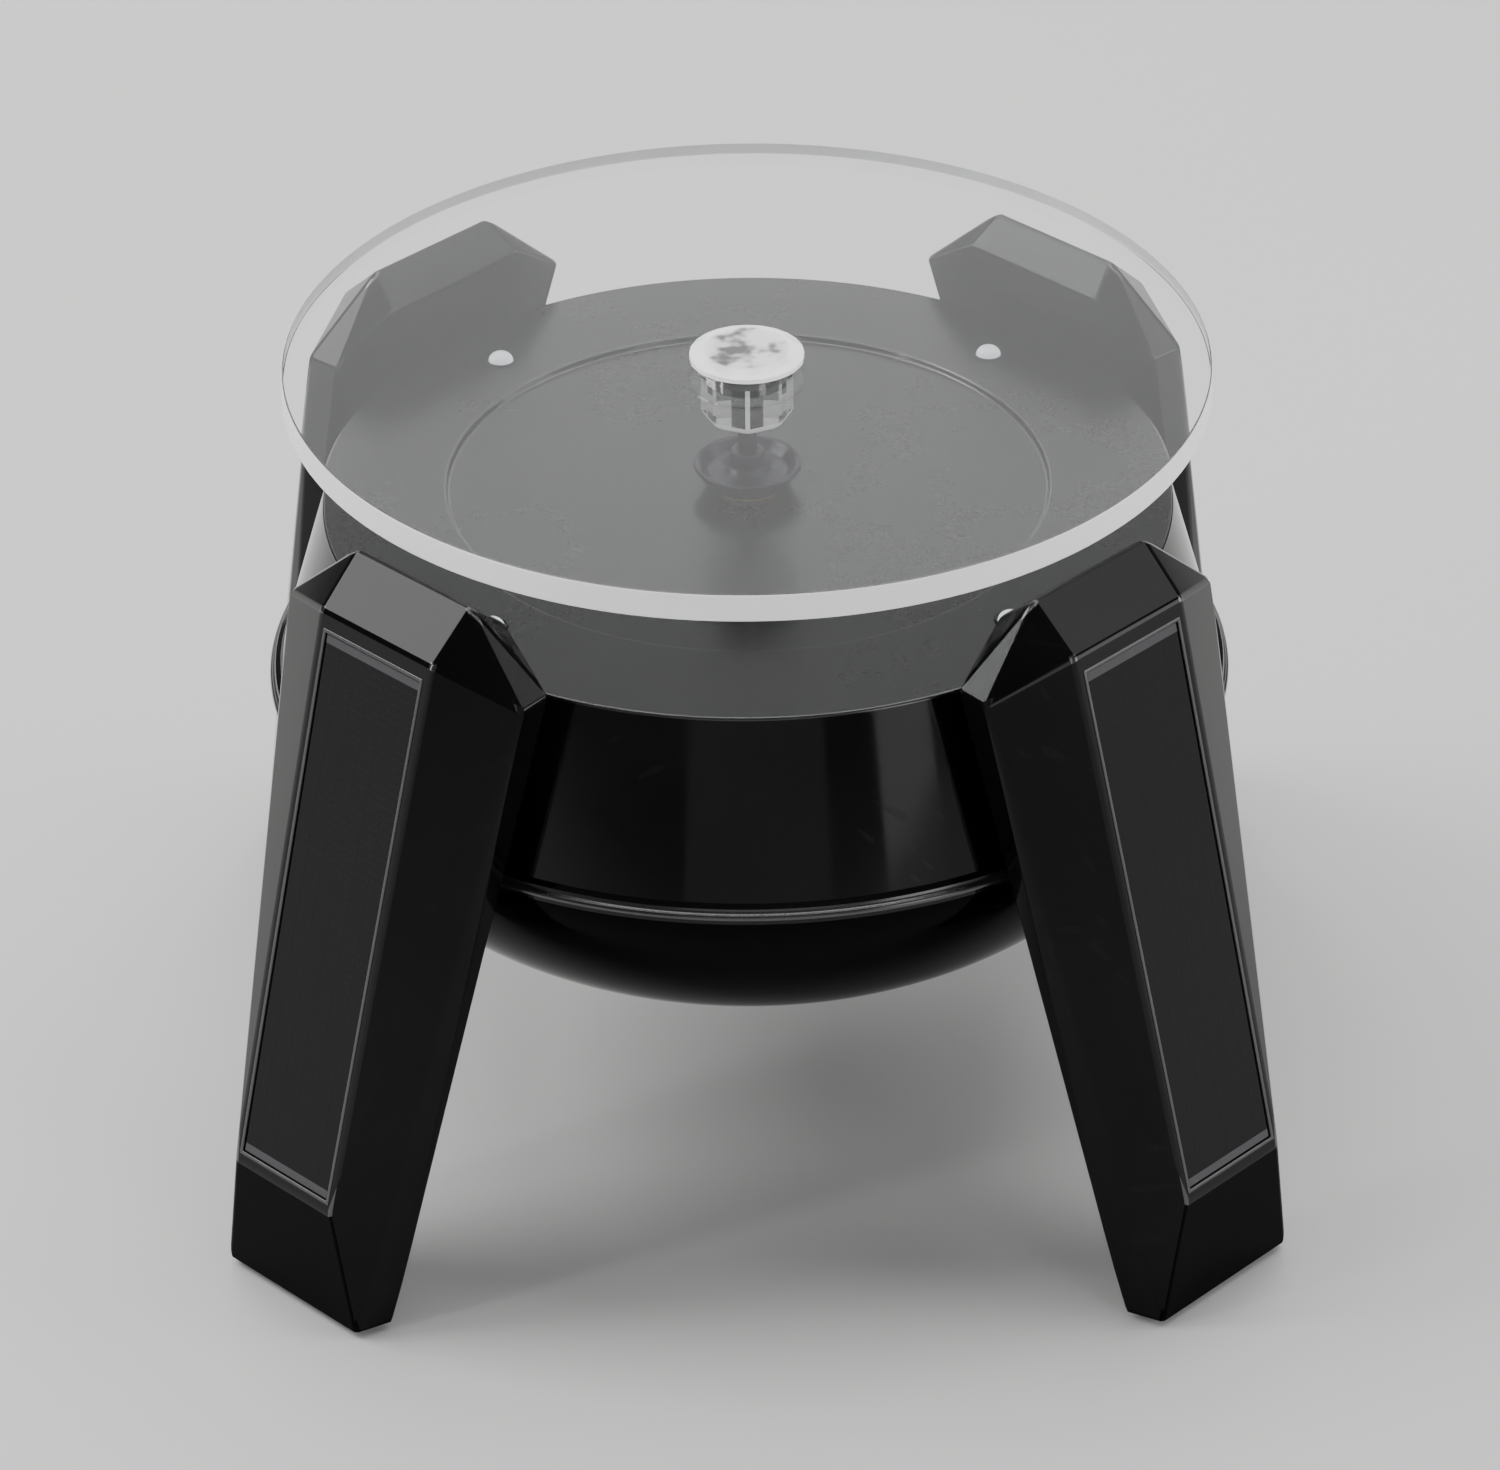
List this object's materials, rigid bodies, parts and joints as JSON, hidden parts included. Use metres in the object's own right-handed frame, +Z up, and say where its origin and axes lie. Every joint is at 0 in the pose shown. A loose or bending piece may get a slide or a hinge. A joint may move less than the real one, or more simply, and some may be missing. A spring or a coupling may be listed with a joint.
{
  "type": "turntable display stand",
  "caption": "Small display stand with a clear round turntable over a black drum housing on splayed legs with solar cells.",
  "frame": {"origin": "centre of the floor area, on the floor under the turning axis", "axes": "+Z up along the turning axis, -Y towards the front, X across"},
  "size_m": [0.1264, 0.1264, 0.0977],
  "materials": {
    "case_black": "gloss",
    "solar_cell": "polished",
    "clear_acrylic": "polished",
    "lamp": "polished",
    "foot_rubber": "matt",
    "steel": "satin",
    "coupling_plastic": "satin",
    "bronze": "satin",
    "gear_plastic": "satin",
    "motor_steel": "satin",
    "magnet": "matt",
    "winding": "enamelled",
    "board_green": "satin",
    "component": "matt",
    "battery_wrap": "satin",
    "switch_grey": "satin",
    "lead_red": "satin",
    "lead_blue": "satin"
  },
  "bodies": {
    "root": {"upper_housing": "case_black", "lower_housing": "case_black", "leg_shell_front_left": "case_black", "leg_shell_front_right": "case_black", "leg_shell_rear_left": "case_black", "leg_shell_rear_right": "case_black", "leg_cover_front_left": "case_black", "leg_cover_front_right": "case_black", "leg_cover_rear_left": "case_black", "leg_cover_rear_right": "case_black", "solar_cell_front_left": "solar_cell", "solar_cell_front_right": "solar_cell", "solar_cell_rear_left": "solar_cell", "solar_cell_rear_right": "solar_cell", "deck_lamps": "lamp", "foot_pads": "foot_rubber", "shaft_bush": "bronze", "gearbox_base": "gear_plastic", "gearbox_cover": "gear_plastic", "gear_arbors": "steel", "motor_can": "motor_steel", "motor_end_cap": "gear_plastic", "motor_magnet": "magnet", "circuit_board": "board_green", "board_components": "component", "battery_cell": "battery_wrap", "battery_spring": "steel", "battery_contacts": "steel", "door_pin": "steel", "switch_body": "switch_grey", "housing_screws": "steel", "leg_screws": "steel", "foot_screws": "steel", "gearbox_screws": "steel", "motor_screws": "steel", "board_screws": "steel", "cell_leads": "lead_red", "motor_leads": "lead_blue", "battery_leads": "lead_red"},
    "turntable": {"turntable_disc": "clear_acrylic", "disc_hub": "clear_acrylic", "hub_post": "steel"},
    "spindle": {"drive_coupling": "coupling_plastic", "output_shaft": "steel", "output_gear": "gear_plastic"},
    "first_gear": {"first_gear": "gear_plastic"},
    "second_gear": {"second_gear": "gear_plastic"},
    "rotor": {"motor_shaft": "steel", "motor_armature": "winding", "motor_pinion": "bronze"},
    "door": {"battery_door": "case_black"},
    "slider": {"switch_slider": "switch_grey"}
  },
  "joints": [
    {"name": "turntable_spin", "type": "hinge", "parent": "root", "child": "spindle", "pos_m": [0, 0, 0.08], "axis": [0, 0, 1], "continuous": true},
    {"name": "turntable_lift", "type": "slide", "parent": "spindle", "child": "turntable", "axis": [0, 0, 1], "range_m": [0, 0.015]},
    {"name": "second_gear_spin", "type": "hinge", "parent": "root", "child": "second_gear", "pos_m": [0.012, -0.009, 0.062], "axis": [0, 0, 1], "continuous": true},
    {"name": "first_gear_spin", "type": "hinge", "parent": "root", "child": "first_gear", "pos_m": [0.007, -0.021, 0.06], "axis": [0, 0, 1], "continuous": true},
    {"name": "motor_spin", "type": "hinge", "parent": "root", "child": "rotor", "pos_m": [-0.003, -0.0135, 0.05], "axis": [0, 0, 1], "continuous": true},
    {"name": "door_hinge", "type": "hinge", "parent": "root", "child": "door", "pos_m": [-0.0296, 0.0095, 0.028], "axis": [0, 1, 0], "range_deg": [0, 100]},
    {"name": "switch_slide", "type": "slide", "parent": "root", "child": "slider", "axis": [1, 0, 0], "range_m": [0, 0.003]}
  ],
  "couplings": [
    {"joint": "second_gear_spin", "follows": "turntable_spin", "ratio": -4},
    {"joint": "first_gear_spin", "follows": "turntable_spin", "ratio": 13.333},
    {"joint": "motor_spin", "follows": "turntable_spin", "ratio": -53.333}
  ]
}
